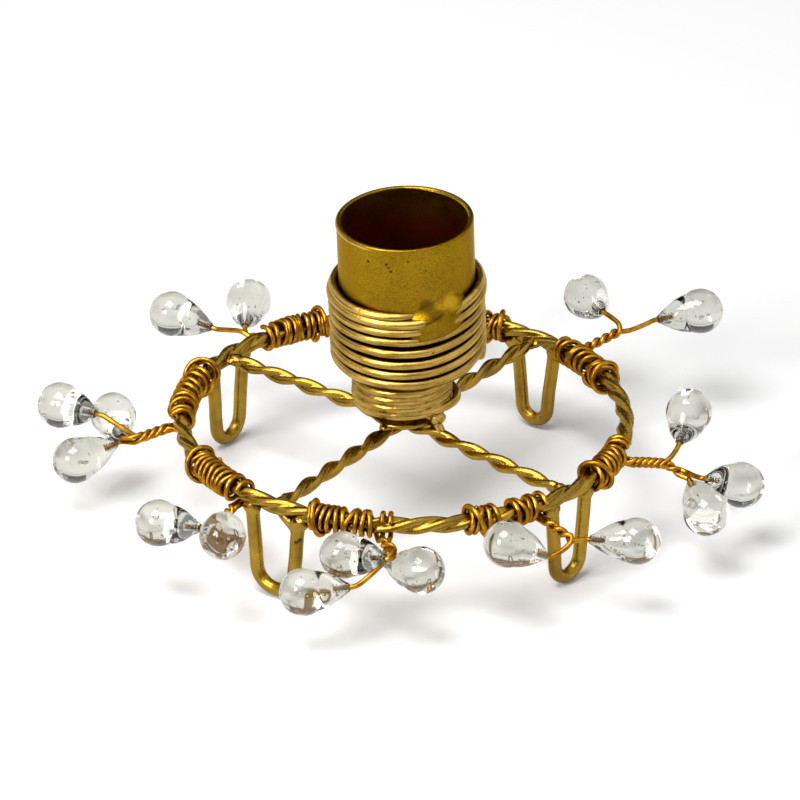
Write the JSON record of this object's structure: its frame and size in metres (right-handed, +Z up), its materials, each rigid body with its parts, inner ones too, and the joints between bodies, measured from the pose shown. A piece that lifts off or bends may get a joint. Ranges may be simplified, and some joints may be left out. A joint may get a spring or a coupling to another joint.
{
  "type": "candle ring",
  "caption": "Wire candle ring with a taper cup on a wound wire neck, twisted wire arms and ring, bent rod feet and sprays of clear glass drops.",
  "frame": {"origin": "centre of the ring, on the surface that the feet stand on", "axes": "+Z up out of the table, +X to the right and +Y to the back as the picture shows it"},
  "size_m": [0.1288, 0.1177, 0.0579],
  "materials": {
    "gold_paint": "satin gold paint with light wear",
    "copper_wire": "bare copper-gold wire, slightly dulled",
    "clear_glass": "clear cast glass with a few bubbles"
  },
  "bodies": {
    "root": {"candle_cup": "gold_paint", "cup_winding": "gold_paint", "neck_winding": "gold_paint", "hub_braze": "gold_paint", "ring_strand_1": "gold_paint", "ring_strand_2": "gold_paint", "ring_strand_3": "gold_paint", "front_right_arm": "gold_paint", "front_left_arm": "gold_paint", "back_left_arm": "gold_paint", "back_right_arm": "gold_paint", "front_right_foot": "gold_paint", "front_left_foot": "gold_paint", "back_left_foot": "gold_paint", "back_right_foot": "gold_paint", "back_left_wire_1": "copper_wire", "back_left_wire_2": "copper_wire", "left_wire_1": "copper_wire", "left_wire_2": "copper_wire", "left_wire_3": "copper_wire", "front_left_wire_1": "copper_wire", "front_left_wire_2": "copper_wire", "front_wire_1": "copper_wire", "front_wire_2": "copper_wire", "front_wire_3": "copper_wire", "front_right_wire_1": "copper_wire", "front_right_wire_2": "copper_wire", "right_wire_1": "copper_wire", "right_wire_2": "copper_wire", "right_wire_3": "copper_wire", "back_right_wire_1": "copper_wire", "back_right_wire_2": "copper_wire", "back_wire_1": "copper_wire", "back_wire_2": "copper_wire", "back_wire_3": "copper_wire", "back_left_drop_1": "clear_glass", "back_left_drop_2": "clear_glass", "left_drop_1": "clear_glass", "left_drop_2": "clear_glass", "left_drop_3": "clear_glass", "front_left_drop_1": "clear_glass", "front_left_drop_2": "clear_glass", "front_drop_1": "clear_glass", "front_drop_2": "clear_glass", "front_drop_3": "clear_glass", "front_right_drop_1": "clear_glass", "front_right_drop_2": "clear_glass", "right_drop_1": "clear_glass", "right_drop_2": "clear_glass", "right_drop_3": "clear_glass", "back_right_drop_1": "clear_glass", "back_right_drop_2": "clear_glass", "back_drop_1": "clear_glass", "back_drop_2": "clear_glass", "back_drop_3": "clear_glass"}
  },
  "joints": []
}
